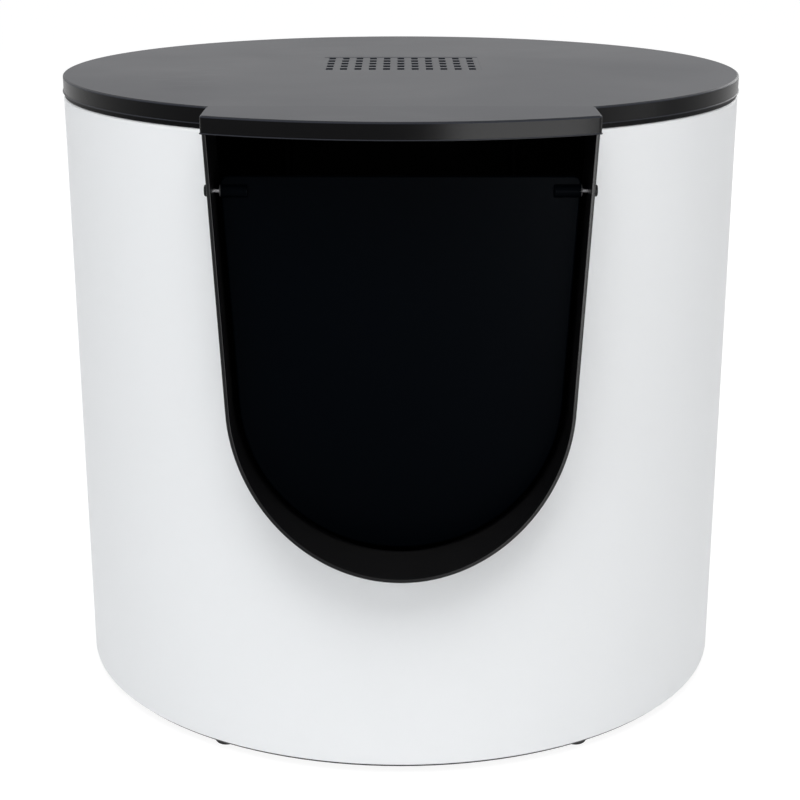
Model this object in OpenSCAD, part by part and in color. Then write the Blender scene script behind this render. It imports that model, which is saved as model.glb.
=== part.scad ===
// Drum-shaped cat litter box: a white drum shell on rubber feet, a black lift-off lid whose
// visor covers a projecting U-shaped entry with a hanging swing flap, and a lift-out litter pan.
// Millimetres. +Z is up, the entry faces -Y, X = 0 is the plane of symmetry, and the origin is
// on the floor in the middle of the box that holds the whole object.

/* [Drum shell] */
// Outside diameter of the drum shell
shell_d = 500; // [440:1:560]
// Height of the drum shell from its bottom edge to its top edge
shell_h = 437; // [400:1:500]
// Wall thickness of the drum shell
shell_wall = 3; // [2.4:0.1:4]
// Diameter of the full-height screw columns inside the shell
column_d = 9; // [8:0.5:12]
// Number of screw columns, spread over the sides and the back
column_count = 6; // [3:1:8]
// Angle of the first screw column from the front
column_angle = 58; // [50:1:70]
// Radius of the shell's corners beside the top of the entry
shell_corner_r = 4; // [1:0.5:8]

/* [Entry surround] */
// Width across the outside of the surround at the shell's top edge
entry_w = 246; // [216:1:260]
// Inward lean of each side of the entry, in degrees
entry_taper = 3; // [0:0.25:5]
// Height of the surround's lowest point above the shell's bottom edge
sill_h = 151.5; // [140:0.5:190]
// Wall thickness of the surround
surround_wall = 2.6; // [2:0.1:4]
// How far the surround stands out in front of the shell
surround_reach = 34; // [20:1:60]
// Gap between the surround and the cut edge of the shell
edge_gap = 0.8; // [0.4:0.1:1.5]
// Width of the flange inside the shell
flange_w = 16; // [8:0.5:24]
// Thickness of the flange inside the shell
flange_t = 2.5; // [2:0.1:4]
// Width of the bead outside the shell
bead_w = 3.5; // [2.5:0.1:6]
// Thickness of the bead outside the shell
bead_t = 2; // [1.5:0.1:3]

/* [Flap] */
// Thickness of the flap
flap_t = 3; // [2:0.1:5]
// Gap between the flap's edge and the inside of the surround
flap_gap = 4.4; // [3:0.1:8]
// Distance of the flap's middle plane behind the foremost point of the shell
flap_setback = 14; // [10:0.5:20]
// Depth of the hinge axis below the shell's top edge
pivot_drop = 36; // [30:0.5:60]
// Height of the flap above the hinge axis
flap_rise = 9.5; // [6:0.5:12]
// Radius of the flap's top corners
flap_corner_r = 5; // [2:0.5:9]
// Depth of the hollow in the flap's back face
flap_hollow = 1; // [0.4:0.1:1.5]
// Width of the full-thickness border round that hollow
flap_border = 8; // [5:0.5:14]

/* [Hinge] */
// Diameter of the hinge pins
pin_d = 3; // [2.5:0.1:4]
// Radial running clearance between a pin and its bush
pin_clearance = 0.05; // [0.02:0.01:0.09]
// Outside diameter of the flap's hinge barrels
barrel_d = 9; // [8.6:0.1:12]
// Length of each hinge barrel
barrel_l = 17; // [12:0.5:30]
// Outside diameter of the bushes
bush_d = 5.6; // [5.2:0.1:6.4]
// Thickness of the bush collar between the barrel and the surround
bush_collar = 0.8; // [0.5:0.1:1.5]
// Diameter of the caps on the outer ends of the pins
cap_d = 7.6; // [6.4:0.1:9]
// Thickness of those caps
cap_t = 2.7; // [2.2:0.1:5]
// Height of the boss that each cap sits on
pin_boss_h = 1; // [0.6:0.1:2]

/* [Top ring] */
// Thickness of the ring on the shell's top edge, and of its skirt
ring_t = 2.5; // [2:0.1:4]
// Depth of the ring's inner skirt below the shell's top edge
ring_skirt_h = 4.5; // [4:0.5:14]
// How far the ring's outer edge stays inside the shell's outside
ring_inset = 0.5; // [0.2:0.1:1.5]

/* [Lid] */
// Overhang of the lid's rim past the shell
lid_overhang = 0.8; // [0.4:0.1:4]
// Height of the lid's rim
lid_h = 11.4; // [9:0.1:20]
// Thickness of the lid's top
lid_t = 3; // [2.4:0.1:4]
// Wall thickness of the lid's rim, its spigot and its ribs
lid_wall = 2.5; // [2:0.1:3.5]
// How far the visor reaches past the front of the surround
visor_front = 3.4; // [1:0.1:8]
// How far the visor reaches past each side of the surround
visor_side = 1.5; // [0.5:0.1:5]
// Radius of the visor's front corners
visor_corner_r = 4; // [1:0.5:10]
// Depth of the lid's spigot inside the top ring
spigot_h = 7; // [4:0.5:12]
// Number of seat ribs between the spigot and the rim
seat_ribs = 24; // [12:1:36]
// Height of the ribs under the lid's top
lid_rib_h = 6; // [3:0.5:6.5]
// Distance of the straight rib under the visor's root in front of the drum's axis
front_rib_y = 214; // [190:1:220]

/* [Vent and filter] */
// Slots in each row of the vent
vent_cols = 11; // [7:1:13]
// Rows of slots in the vent
vent_rows = 5; // [3:1:6]
// Distance from slot to slot across the vent
vent_pitch_x = 10.75; // [9:0.25:12]
// Distance from row to row
vent_pitch_y = 17.9; // [15:0.1:20]
// Width of a vent slot
slot_w = 5.2; // [3:0.1:7]
// Length of a vent slot
slot_l = 11; // [8:0.5:13]
// Distance of the vent's centre behind the drum's axis
vent_back = 32; // [10:1:50]
// Margin of the shallow panel round the vent slots
vent_margin = 4; // [2:0.5:8]
// Depth of that panel
vent_recess = 0.5; // [0.2:0.1:1]
// Thickness of the carbon filter pad
pad_t = 12; // [6:0.5:14]
// Wall thickness of the filter's frame and cassette
filter_wall = 2; // [1.6:0.1:3]
// Travel of the filter cassette as it slides out to the back
cassette_travel = 105; // [60:1:110]

/* [Litter pan] */
// Height of the litter pan
pan_h = 125; // [90:1:130]
// Gap between the pan's rim and the inner end of the surround
pan_gap = 5; // [3:0.5:20]
// Wall thickness of the pan
pan_wall = 2.5; // [2:0.1:4]
// Width of the pan's turned-over rim
pan_rim_w = 9; // [8:0.5:16]
// Depth of the rim's lip
pan_lip_h = 12; // [6:0.5:20]
// Narrowing of the pan's radius from its top to its floor
pan_draft = 12; // [4:1:20]
// Radius between the pan's wall and its floor
pan_corner_r = 14; // [8:1:24]

/* [Base and feet] */
// Thickness of the base plate
base_t = 2.4; // [2:0.1:4]
// Width of the bevel round the base plate's edge
base_bevel = 2; // [1:0.1:3]
// Height of the wall that centres the shell on the base plate
base_wall_h = 10; // [6:0.5:20]
// Depth of the ribs under the base plate
base_rib_h = 3; // [1.5:0.1:3.5]
// Number of radial ribs under the base plate
base_ribs = 12; // [6:1:18]
// Height of the rubber feet below the base plate
foot_h = 5.6; // [5:0.1:12]
// Diameter of the rubber feet
foot_d = 17; // [15:0.5:22]
// Distance of a foot's centre in from the shell's outside
foot_inset = 15; // [14:0.5:20]
// Angle of the feet from the front and from the back
foot_angle = 32.5; // [28:0.5:36]

/* [Screws] */
// Shank diameter of all the screws
screw_d = 3.5; // [3:0.1:4]
// Head diameter of all the screws
screw_head_d = 6.8; // [6:0.1:7.2]
// Head height of all the screws
screw_head_h = 1.9; // [1.6:0.1:2.2]
// Length of the screws in the top ring and the base plate
screw_l = 16; // [12:0.5:24]

/* [Hidden] */
$fn = 180;

white = [0.90, 0.91, 0.92];
black = [0.10, 0.10, 0.11];
soft_black = [0.05, 0.05, 0.06];
rubber = [0.03, 0.03, 0.03];
steel = [0.78, 0.78, 0.80];
nylon = [0.20, 0.20, 0.21];
charcoal = [0.13, 0.13, 0.12];

left = -1;
right = 1;
sides = [left, right];
cut = 1;            // how far a cutting shape runs past what it cuts
fit_gap = 0.3;      // clearance between neighbours that only rest against each other
spigot_gap = 0.5;   // clearance of the lid's spigot in the top ring
hole_gap = 0.05;    // radial clearance of a screw or a pin in the hole that holds it

// Radii about the drum's axis, from the outside inwards
shell_r = shell_d / 2;
shell_ri = shell_r - shell_wall;
lid_r = shell_r + lid_overhang;
surround_r = shell_r + surround_reach;
visor_r = surround_r + visor_front;
ring_r = shell_r - ring_inset;
column_bite = 1;    // how far a column sinks into the shell's wall
column_pos = shell_ri - column_d / 2 + column_bite;
ring_ri = column_pos - column_d / 2 - fit_gap - ring_t;
spigot_r = ring_ri - spigot_gap;
flap_y = shell_r - flap_setback;
flap_past = 1.5;    // how far the surround runs on behind the flap
surround_ri = flap_y - flap_t / 2 - flap_past;
pan_r = surround_ri - pan_gap;
foot_pos = shell_r - foot_inset;
base_lock_r = shell_ri - fit_gap;

// Where the drum's axis and the shell's bottom edge stand in the object's own frame
drum_y = (visor_r - lid_r) / 2;
shell_z = foot_h + base_t;

// Heights above the shell's bottom edge
pivot_z = shell_h - pivot_drop;
lid_z = shell_h + ring_t + fit_gap;
lid_under = lid_z + lid_h - lid_t;
surround_top = shell_h + ring_t;

// The entry's outline: straight sides that lean in by entry_taper and run into a round sill
sill_r = (entry_w / 2 - (shell_h - sill_h) * tan(entry_taper))
         / (1 / cos(entry_taper) - tan(entry_taper));
sill_z = sill_h + sill_r;
arc_bite = 0.02;    // how far an arc overlaps the straight edge that it runs into
// Half the outline's width at height z, with the outline grown outwards by grow
function entry_half(z, grow = 0) = (sill_r + grow) / cos(entry_taper) + (z - sill_z) * tan(entry_taper);

column_step = (360 - 2 * column_angle) / (column_count - 1);
column_angles = [for (i = [0 : column_count - 1]) column_angle + i * column_step];

screw_r = screw_d / 2;
screw_head_r = screw_head_d / 2;
screw_hole_r = screw_r + hole_gap;
pin_r = pin_d / 2;

// Hinge sizes along X, measured from the plane of symmetry
flap_half = entry_half(pivot_z, -surround_wall - flap_gap);
bush_wall_gap = 0.03;                   // radial clearance of a bush in its barrel
barrel_floor = 2;                       // closed inner end of a barrel
bush_l = barrel_l - barrel_floor;
boss_face = entry_half(pivot_z) + pin_boss_h;
cap_skin = 0.9;                         // closed outer face of a cap
pin_in = flap_half - bush_l + 1;
pin_out = boss_face + cap_t - cap_skin;

vent_w = (vent_cols - 1) * vent_pitch_x + slot_w;
vent_l = (vent_rows - 1) * vent_pitch_y + slot_l;
pad_margin = 3;     // how far the pad runs past the vent on each side
pad_w = vent_w + 2 * pad_margin;
pad_l = vent_l + 2 * pad_margin;
cassette_w = pad_w + 2 * (filter_wall + fit_gap);
cassette_l = pad_l + 2 * (filter_wall + fit_gap);
cassette_h = pad_t + filter_wall + 2 * fit_gap;
cassette_z = lid_under - fit_gap - cassette_h;
frame_z = cassette_z - fit_gap - filter_wall;
frame_half = cassette_w / 2 + 2 * fit_gap + filter_wall;
frame_front = vent_back - cassette_l / 2 - fit_gap - filter_wall;
frame_back = vent_back + cassette_l / 2;
ear_w = 12;         // width of the screw ears on the filter's frame
ear_boss_h = 6;     // height of the lid's bosses for those ears
ear_boss_d = 8;
ear_screw_l = filter_wall + ear_boss_h;
ear_x = frame_half + ear_w / 2 - fit_gap;
ear_ys = [frame_front + ear_w / 2, frame_back - ear_w / 2];

foot_angles = [for (s = sides, a = [foot_angle, 180 - foot_angle]) s * a];

// ---------------------------------------------------------------- shared forms

// Places children in the drum's own frame: axis at X = Y = 0, Z = 0 at the shell's bottom edge
module on_drum() translate([0, drum_y, shell_z]) children();

// Turns children to an angle from the front of the drum and moves them out to a radius
module around(angle, radius) rotate([0, 0, angle]) translate([0, -radius, 0]) children();

module tube(r_out, r_in, h) difference() {
    cylinder(h = h, r = r_out);
    translate([0, 0, -cut]) cylinder(h = h + 2 * cut, r = r_in);
}

// Cylinder along +X or -X, by side, between two distances from the plane of symmetry
module across(side, x_in, x_out, r) mirror([side == left ? 1 : 0, 0, 0])
    translate([x_in, 0, 0]) rotate([0, 90, 0]) cylinder(h = x_out - x_in, r = r, $fn = 48);

// The entry's outline in X and height, grown outwards by grow, up to height top
module entry_outline(grow, top) {
    r = sill_r + grow;
    foot = (r - arc_bite) * [cos(entry_taper), -sin(entry_taper)];
    union() {
        translate([0, sill_z]) circle(r);
        polygon([[-entry_half(top, grow), top], [entry_half(top, grow), top],
                 [foot[0], sill_z + foot[1]], [-foot[0], sill_z + foot[1]]]);
    }
}

// That outline carried from the drum's axis out through the front
module entry_prism(grow, top, past = 0) translate([0, past, 0]) rotate([90, 0, 0])
    linear_extrude(visor_r + 2 * past) entry_outline(grow, top);

// A band round the entry between two outlines, open at its top
module entry_band(grow_out, grow_in, top) difference() {
    entry_prism(grow_out, top);
    entry_prism(grow_in, top + cut, cut);
}

// ---------------------------------------------------------------- drum

// What is rounded off the shell where its top edge meets the side of the entry
module shell_corner() {
    vertex = [entry_half(shell_h, edge_gap), shell_h];
    centre = [vertex[0] + shell_corner_r * (1 - sin(entry_taper)) / cos(entry_taper) - arc_bite,
              shell_h - shell_corner_r + arc_bite];
    on_side = centre - shell_corner_r * [cos(entry_taper), -sin(entry_taper)];
    rotate([90, 0, 0]) linear_extrude(shell_r + cut) difference() {
        polygon([vertex + [-cut, cut], [centre[0], shell_h + cut], centre, on_side,
                 [on_side[0] - cut, on_side[1]]]);
        translate(centre) circle(shell_corner_r);
    }
}

module outer_shell() color(white) on_drum() difference() {
    union() {
        tube(shell_r, shell_ri, shell_h);
        for (a = column_angles) around(a, column_pos)
            cylinder(h = shell_h, d = column_d, $fn = 48);
    }
    entry_prism(edge_gap, shell_h + cut);
    for (m = [0, 1]) mirror([m, 0, 0]) shell_corner();
    for (a = column_angles, z = [-cut, shell_h - screw_l]) around(a, column_pos)
        translate([0, 0, z]) cylinder(h = screw_l + cut, r = screw_hole_r, $fn = 48);
}

module base_plate() color(black) on_drum() difference() {
    union() {
        rotate_extrude() polygon([[0, 0], [shell_r - base_bevel / 2, 0],
            [shell_r - base_bevel / 2 - base_bevel, -base_t], [0, -base_t]]);
        difference() {
            tube(base_lock_r, base_lock_r - base_t, base_wall_h);
            for (a = column_angles) around(a, column_pos) translate([0, 0, -cut])
                cylinder(h = base_wall_h + 2 * cut, r = column_d / 2 + fit_gap, $fn = 48);
        }
        for (a = foot_angles) around(a, foot_pos)
            cylinder(h = base_wall_h, d = column_d, $fn = 48);
        translate([0, 0, -base_t - base_rib_h]) base_rib_pattern();
    }
    for (a = column_angles) around(a, column_pos) {
        translate([0, 0, -base_t - cut])
            cylinder(h = base_t + 2 * cut, r = screw_hole_r + fit_gap, $fn = 48);
    }
    for (a = foot_angles) around(a, foot_pos) translate([0, 0, -base_t - cut])
        cylinder(h = foot_screw_reach() + cut, r = screw_hole_r, $fn = 48);
}

// How far a foot screw reaches up past the base plate's underside
function foot_screw_reach() = base_t + base_wall_h - 2;

// Rings and spokes under the base plate, clear of the feet and the screws at its edge
module base_rib_pattern() {
    rib_r = foot_pos - foot_d / 2 - base_rib_h;
    hub_r = rib_r / 4;
    for (r = [hub_r, rib_r * 0.62, rib_r]) tube(r, r - base_t, base_rib_h);
    for (i = [0 : base_ribs - 1]) rotate([0, 0, i * 360 / base_ribs])
        translate([hub_r - base_t / 2, -base_t / 2, 0]) cube([rib_r - hub_r, base_t, base_rib_h]);
}

module top_ring() color(black) on_drum() difference() {
    union() {
        translate([0, 0, shell_h]) tube(ring_r, ring_ri, ring_t);
        translate([0, 0, shell_h - ring_skirt_h]) tube(ring_ri + ring_t, ring_ri, ring_skirt_h + cut);
    }
    for (a = column_angles) around(a, column_pos) {
        translate([0, 0, shell_h - cut])
            cylinder(h = ring_t + 2 * cut, r = screw_hole_r + fit_gap, $fn = 48);
        translate([0, 0, shell_h + ring_t - screw_head_h])
            cylinder(h = screw_head_h + cut, r = screw_head_r + fit_gap, $fn = 48);
    }
}

module entry_surround() color(black) on_drum() difference() {
    union() {
        intersection() {
            entry_band(0, -surround_wall, surround_top);
            tube(surround_r, surround_ri, surround_top);
        }
        intersection() {
            entry_band(flange_w, -surround_wall / 2, shell_h);
            tube(base_lock_r, base_lock_r - flange_t, shell_h);
        }
        intersection() {
            entry_band(bead_w, -surround_wall / 2, shell_h);
            tube(shell_r + fit_gap + bead_t, shell_r + fit_gap, shell_h);
        }
        for (side = sides) translate([0, -flap_y, pivot_z])
            across(side, entry_half(pivot_z) - surround_wall / 2, boss_face, cap_d / 2 + 0.6);
    }
    // room for the top ring's flange, and for its skirt and the lid's spigot inside that
    translate([0, 0, shell_h]) cylinder(h = ring_t + cut, r = shell_r + fit_gap);
    translate([0, 0, shell_h - ring_skirt_h - fit_gap])
        cylinder(h = ring_skirt_h + cut, r = ring_ri + ring_t + fit_gap);
    for (side = sides) translate([0, -flap_y, pivot_z])
        across(side, flap_half, boss_face + cut, pin_r + hole_gap);
}

// ---------------------------------------------------------------- feet and screws

// Rubber foot with its top at Z = 0: rounded at its lower edge, recessed for the screw's head
module foot() {
    edge_r = foot_h / 2;
    r = foot_d / 2;
    recess_h = foot_recess();
    rotate_extrude() difference() {
        union() {
            translate([0, -foot_h]) square([r - edge_r, foot_h]);
            translate([0, -foot_h + edge_r]) square([r, foot_h - edge_r]);
            translate([r - edge_r, -foot_h + edge_r]) circle(edge_r, $fn = 48);
        }
        translate([-cut, -foot_h - cut]) square([screw_hole_r + cut, foot_h + 2 * cut]);
        translate([-cut, -foot_h - cut]) square([screw_head_r + fit_gap + cut, recess_h + cut]);
    }
}
// Depth of the recess under a foot, which hides the screw's head
function foot_recess() = foot_h - 1.6;

// Pan-head screw that points up, with the underside of its head at Z = 0
module screw(length) {
    cylinder(h = length, r = screw_r, $fn = 48);
    translate([0, 0, -screw_head_h]) cylinder(h = screw_head_h, r = screw_head_r, $fn = 48);
}

module foot_at(angle) color(rubber) on_drum() around(angle, foot_pos)
    translate([0, 0, -base_t]) foot();
module foot_front_left() foot_at(-foot_angle);
module foot_front_right() foot_at(foot_angle);
module foot_rear_left() foot_at(foot_angle - 180);
module foot_rear_right() foot_at(180 - foot_angle);

module foot_screws() color(steel) on_drum() for (a = foot_angles) around(a, foot_pos)
    translate([0, 0, -base_t - foot_h + foot_recess()])
        screw(foot_h - foot_recess() + foot_screw_reach() - cut);

module base_screws() color(steel) on_drum() for (a = column_angles) around(a, column_pos)
    translate([0, 0, -base_t]) screw(base_t + screw_l - cut);

module ring_screws() color(steel) on_drum() for (a = column_angles) around(a, column_pos)
    translate([0, 0, shell_h + ring_t - screw_head_h]) mirror([0, 0, 1])
        screw(ring_t - screw_head_h + screw_l - cut);

// ---------------------------------------------------------------- flap and hinge

module hinge_pin(side) color(steel) on_drum() translate([0, -flap_y, pivot_z])
    across(side, pin_in, pin_out, pin_r);
module hinge_pin_left() hinge_pin(left);
module hinge_pin_right() hinge_pin(right);

module pin_cap(side) color(black) on_drum() translate([0, -flap_y, pivot_z]) difference() {
    across(side, boss_face, boss_face + cap_t, cap_d / 2);
    across(side, boss_face - cut, pin_out, pin_r + hole_gap);
}
module pin_cap_left() pin_cap(left);
module pin_cap_right() pin_cap(right);

module flap_bush(side) color(nylon) on_drum() translate([0, -flap_y, pivot_z]) difference() {
    union() {
        across(side, flap_half - bush_l, flap_half + bush_collar / 2, bush_d / 2);
        across(side, flap_half, flap_half + bush_collar, barrel_d / 2 - 0.5);
    }
    across(side, flap_half - bush_l - cut, flap_half + bush_collar + cut, pin_r + pin_clearance);
}
module flap_bush_left() flap_bush(left);
module flap_bush_right() flap_bush(right);

// The flap's outline, shrunk by inset, with round top corners
module flap_outline(inset) {
    shrink = -surround_wall - flap_gap - inset;
    top = pivot_z + flap_rise - inset;
    corner = flap_corner_r;
    centre = [entry_half(top - corner, shrink) - corner / cos(entry_taper), top - corner];
    on_side = centre + corner * [cos(entry_taper), -sin(entry_taper)];
    difference() {
        entry_outline(shrink, top);
        for (m = [0, 1]) mirror([m, 0]) difference() {
            polygon([centre, [centre[0], top + cut], [on_side[0] + corner, top + cut],
                     [on_side[0] + corner, on_side[1]], on_side]);
            translate(centre) circle(corner, $fn = 48);
        }
    }
}

module flap_panel() color(soft_black) on_drum() difference() {
    union() {
        translate([0, flap_t / 2 - flap_y, 0]) rotate([90, 0, 0])
            linear_extrude(flap_t) flap_outline(0);
        for (side = sides) translate([0, -flap_y, pivot_z])
            across(side, flap_half - barrel_l, flap_half, barrel_d / 2);
    }
    // the shallow hollow in the back face stops short of the hinge barrels
    translate([0, flap_t / 2 - flap_y + cut, 0]) rotate([90, 0, 0])
        linear_extrude(flap_hollow + cut) intersection() {
            flap_outline(flap_border);
            translate([-shell_r, 0]) square([shell_d, pivot_z - barrel_d]);
        }
    // the bush's bore, and a flat seat for its collar across the leaning edge
    for (side = sides) translate([0, -flap_y, pivot_z]) {
        across(side, flap_half - bush_l, flap_half + cut, bush_d / 2 + bush_wall_gap);
        across(side, flap_half, flap_half + bush_collar + cut, barrel_d / 2);
    }
}

// ---------------------------------------------------------------- lid

// What is rounded off one front corner of the visor, for an outline shrunk by inset
module visor_corner(inset) {
    c = visor_corner_r - min(inset, visor_corner_r / 2);
    half = visor_half() - inset;
    r = visor_r - inset;
    centre = [half - c, -sqrt(pow(r - c, 2) - pow(half - c, 2))];
    on_front = centre * r / (r - c);
    difference() {
        polygon([centre, [half, centre[1]], [half + c, centre[1]],
                 [half + c, on_front[1] - c], [on_front[0], on_front[1] - c], on_front]);
        translate(centre) circle(c, $fn = 48);
    }
}
function visor_half() = entry_w / 2 + visor_side;

// The lid seen from above: the round lid and the visor, shrunk by inset
module lid_outline(inset) {
    circle(lid_r - inset);
    difference() {
        intersection() {
            circle(visor_r - inset);
            translate([inset - visor_half(), -visor_r]) square([2 * (visor_half() - inset), visor_r]);
        }
        for (m = [0, 1]) mirror([m, 0]) visor_corner(inset);
    }
}

module vent_slots() for (i = [0 : vent_cols - 1], j = [0 : vent_rows - 1])
    translate([(i - (vent_cols - 1) / 2) * vent_pitch_x,
               vent_back + (j - (vent_rows - 1) / 2) * vent_pitch_y])
        square([slot_w, slot_l], center = true);

// Ribs under the lid: a ring, spokes and a straight rib, kept clear of the filter's path
module lid_ribs() {
    ring_rib_r = spigot_r * 0.72;
    path_half = ear_x + ear_boss_d;
    difference() {
        union() {
            tube(ring_rib_r, ring_rib_r - lid_wall, lid_rib_h);
            for (a = [0 : 30 : 330]) rotate([0, 0, a])
                translate([-lid_wall / 2, -spigot_r + lid_wall / 2, 0])
                    cube([lid_wall, spigot_r - lid_wall, lid_rib_h]);
        }
        translate([-path_half, frame_front - ear_w, -cut])
            cube([2 * path_half, frame_back - frame_front + cassette_travel + 2 * ear_w,
                  lid_rib_h + 2 * cut]);
        translate([-shell_r, -shell_r - front_rib_y, -cut]) cube([shell_d, shell_r, lid_rib_h + 2 * cut]);
    }
    intersection() {
        translate([-shell_r, -front_rib_y - lid_wall / 2, 0]) cube([shell_d, lid_wall, lid_rib_h]);
        cylinder(h = lid_rib_h, r = spigot_r - lid_wall / 2);
    }
}

module lid() color(black) on_drum() difference() {
    union() {
        translate([0, 0, lid_under]) linear_extrude(lid_t) lid_outline(0);
        translate([0, 0, lid_z]) linear_extrude(lid_h) difference() {
            lid_outline(0);
            lid_outline(lid_wall);
        }
        translate([0, 0, lid_z - fit_gap - spigot_h])
            tube(spigot_r, spigot_r - lid_wall, spigot_h + fit_gap + lid_h - lid_t / 2);
        // seat ribs, which stand on the top ring
        intersection() {
            translate([0, 0, lid_z]) tube(lid_r - lid_wall / 2, spigot_r - lid_wall / 2, lid_h - lid_t / 2);
            for (i = [0 : seat_ribs - 1]) rotate([0, 0, (i + 0.5) * 360 / seat_ribs])
                translate([0, -lid_wall / 2, lid_z]) cube([lid_r, lid_wall, lid_h]);
        }
        translate([0, 0, lid_under - lid_rib_h]) lid_ribs();
        for (s = sides, y = ear_ys) translate([s * ear_x, y, lid_under - ear_boss_h])
            cylinder(h = ear_boss_h + lid_t / 2, d = ear_boss_d, $fn = 48);
    }
    translate([0, 0, lid_under - cut]) linear_extrude(lid_t + 2 * cut) vent_slots();
    translate([-vent_w / 2 - vent_margin, vent_back - vent_l / 2 - vent_margin,
               lid_z + lid_h - vent_recess])
        cube([vent_w + 2 * vent_margin, vent_l + 2 * vent_margin, vent_recess + cut]);
    for (s = sides, y = ear_ys) translate([s * ear_x, y, lid_under - ear_boss_h - cut])
        cylinder(h = ear_boss_h + cut, r = screw_hole_r, $fn = 48);
}

// ---------------------------------------------------------------- filter

// Channel under the vent: two side walls with rails and a front stop, open to the back
module filter_frame() color(black) on_drum() difference() {
    union() {
        difference() {
            translate([-frame_half, frame_front, frame_z])
                cube([2 * frame_half, frame_back - frame_front, lid_under - frame_z]);
            translate([filter_wall - frame_half, frame_front + filter_wall, frame_z + filter_wall])
                cube([2 * (frame_half - filter_wall), frame_back - frame_front, lid_under]);
            translate([-pad_w / 2 + pad_margin, vent_back - vent_l / 2, frame_z - cut])
                cube([pad_w - 2 * pad_margin, frame_back - frame_front, lid_under]);
        }
        for (s = sides, y = ear_ys)
            translate([s * ear_x, y, lid_under - ear_boss_h - filter_wall / 2])
                cube([ear_w, ear_w, filter_wall], center = true);
    }
    for (s = sides, y = ear_ys) translate([s * ear_x, y, frame_z])
        cylinder(h = lid_under, r = screw_hole_r + fit_gap, $fn = 48);
}

module filter_frame_screws() color(steel) on_drum() for (s = sides, y = ear_ys)
    translate([s * ear_x, y, lid_under - ear_boss_h - filter_wall]) screw(ear_screw_l - cut);

// Shallow tray with a barred floor and a pull tab at its back
module filter_cassette() color(black) on_drum() translate([0, vent_back, cassette_z]) {
    bar = 2 * filter_wall;
    bar_gap = (pad_w - bar) / 10 - bar;
    difference() {
        translate([-cassette_w / 2, -cassette_l / 2, 0]) cube([cassette_w, cassette_l, cassette_h]);
        translate([-pad_w / 2 - fit_gap, -pad_l / 2 - fit_gap, filter_wall])
            cube([pad_w + 2 * fit_gap, pad_l + 2 * fit_gap, cassette_h]);
        for (i = [0 : 9]) translate([-pad_w / 2 + bar + i * (bar + bar_gap), -pad_l / 2 + bar, -cut])
            cube([bar_gap, pad_l - 2 * bar, filter_wall + 2 * cut]);
    }
    tab_w = cassette_w / 3;
    translate([-tab_w / 2, cassette_l / 2 - filter_wall / 2, 0])
        cube([tab_w, 5 * filter_wall, filter_wall]);
}

module carbon_filter() color(charcoal) on_drum()
    translate([-pad_w / 2, vent_back - pad_l / 2, cassette_z + filter_wall + fit_gap])
        cube([pad_w, pad_l, pad_t]);

// ---------------------------------------------------------------- litter pan

pan_top_r = pan_r - pan_rim_w;              // outside of the pan's wall at its top
pan_lean = atan(pan_draft / pan_h);
// Outside radius of the pan's wall at height z
function pan_wall_r(z) = pan_top_r - (pan_h - z) * tan(pan_lean);
pan_corner = [pan_wall_r(pan_corner_r) - pan_corner_r / cos(pan_lean), pan_corner_r];

// Half section of a solid tub whose floor, round corner and leaning wall are shrunk by inset
module pan_section(inset, top) {
    r = pan_corner_r - inset;
    translate(pan_corner) circle(r, $fn = 96);
    polygon([[0, inset], [pan_corner[0], inset], pan_corner + r * [cos(pan_lean), -sin(pan_lean)],
             [pan_wall_r(top) - inset / cos(pan_lean), top], [0, top]]);
}

// The tub stands on the base plate, and its rim turns out and down for the fingers
module litter_pan() color(black) on_drum() translate([0, 0, fit_gap]) rotate_extrude() {
    difference() {
        pan_section(0, pan_h);
        pan_section(pan_wall, pan_h + cut);
    }
    translate([pan_top_r - pan_wall / 2, pan_h - pan_wall]) square([pan_rim_w + pan_wall / 2, pan_wall]);
    translate([pan_r - pan_wall, pan_h - pan_lip_h]) square([pan_wall, pan_lip_h]);
}

// ---------------------------------------------------------------- assembly

outer_shell();
base_plate();
top_ring();
entry_surround();
foot_front_left();
foot_front_right();
foot_rear_left();
foot_rear_right();
foot_screws();
base_screws();
ring_screws();
hinge_pin_left();
hinge_pin_right();
pin_cap_left();
pin_cap_right();
flap_panel();
flap_bush_left();
flap_bush_right();
lid();
filter_frame();
filter_frame_screws();
filter_cassette();
carbon_filter();
litter_pan();
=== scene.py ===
import math

import bmesh
import bpy
import numpy as np
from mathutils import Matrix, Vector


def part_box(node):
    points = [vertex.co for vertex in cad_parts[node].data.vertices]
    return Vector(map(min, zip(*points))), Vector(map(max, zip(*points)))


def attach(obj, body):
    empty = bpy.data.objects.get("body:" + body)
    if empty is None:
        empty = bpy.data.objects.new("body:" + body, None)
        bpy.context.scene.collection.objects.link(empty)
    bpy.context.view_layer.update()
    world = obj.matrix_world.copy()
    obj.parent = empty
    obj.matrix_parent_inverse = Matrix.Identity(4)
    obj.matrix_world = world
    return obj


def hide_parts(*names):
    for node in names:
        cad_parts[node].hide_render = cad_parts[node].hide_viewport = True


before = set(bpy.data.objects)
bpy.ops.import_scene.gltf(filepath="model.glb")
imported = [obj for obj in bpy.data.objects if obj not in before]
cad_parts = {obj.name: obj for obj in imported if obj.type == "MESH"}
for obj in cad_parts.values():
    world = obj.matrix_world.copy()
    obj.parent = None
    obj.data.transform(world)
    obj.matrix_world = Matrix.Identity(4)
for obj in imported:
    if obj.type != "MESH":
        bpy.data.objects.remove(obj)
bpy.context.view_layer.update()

# ---------------------------------------------------------------- the photograph's view
# The camera stands in front of the entry, 1.36 m from the drum's axis and 15 cm higher than
# the lid, and looks down a little. Everything is placed from the drum's axis and the height
# of the shell's bottom edge, which the litter pan and the shell give.
pan_low, pan_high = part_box("litter_pan")
drum_y = (pan_low.y + pan_high.y) / 2
shell_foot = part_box("outer_shell")[0].z

camera_distance = 1.35514
camera_height = 0.60183
camera_pitch = 0.32056
camera_focal = 2.21729      # focal length in widths of the square frame

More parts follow.
